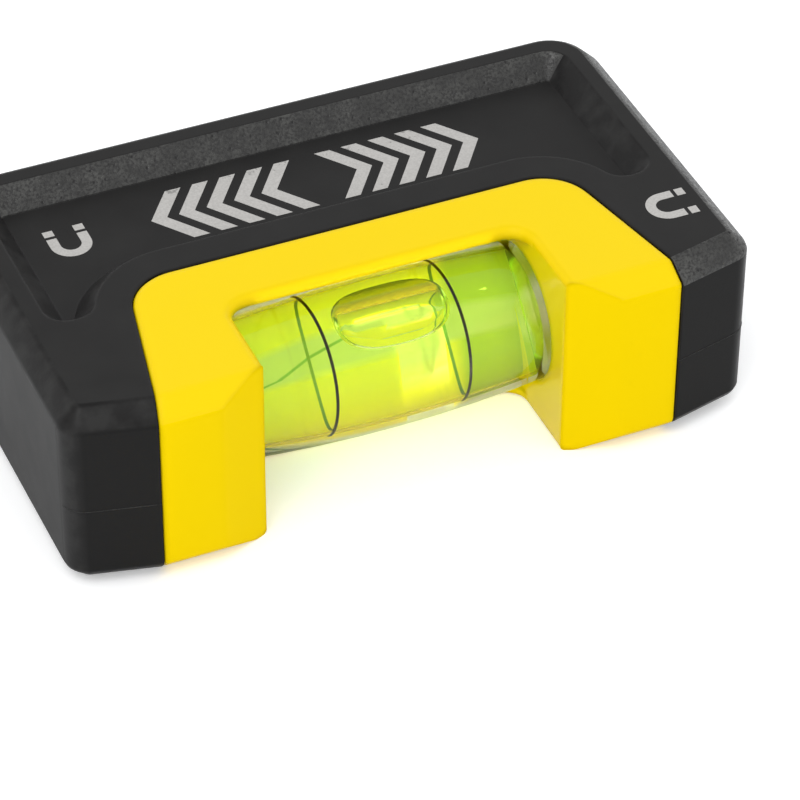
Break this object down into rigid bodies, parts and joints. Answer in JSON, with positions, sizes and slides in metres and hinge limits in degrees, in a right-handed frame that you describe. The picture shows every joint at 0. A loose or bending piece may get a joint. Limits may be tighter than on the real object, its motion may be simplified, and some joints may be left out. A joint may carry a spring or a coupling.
{
  "type": "pocket level",
  "caption": "Small magnetic spirit level: black die-cast body with a yellow vial holder and a barrel vial between two arms.",
  "frame": {"origin": "centre of the back face's bounding rectangle, on the plane the level lies on", "axes": "+X along the length, to the right when the front panel is read; +Y to the flat base edge with the magnets, -Y to the open edge with the vial; +Z from the back to the front"},
  "size_m": [0.075, 0.0444, 0.022],
  "materials": {
    "black_coat": "satin black powder coat, grainy on the slopes",
    "yellow_plastic": "semi-gloss moulded yellow",
    "clear_acrylic": "clear polished",
    "green_spirit": "clear yellow-green liquid",
    "air": "air in the liquid",
    "ring_ink": "matt black line",
    "magnet_plating": "nickel plated"
  },
  "bodies": {
    "level_body": {"body_casting": "black_coat", "vial_holder": "yellow_plastic", "vial_tube": "clear_acrylic", "vial_plug": "clear_acrylic", "spirit": "green_spirit", "vial_ring_left": "ring_ink", "vial_ring_right": "ring_ink", "base_magnet_left": "magnet_plating", "base_magnet_right": "magnet_plating", "end_magnet": "magnet_plating"},
    "air_bubble": {"bubble": "air"}
  },
  "joints": [
    {"name": "bubble_travel", "type": "slide", "parent": "level_body", "child": "air_bubble", "axis": [1, 0, 0], "range_m": [-0.0095, 0.0082], "deforming": ["spirit"]}
  ]
}
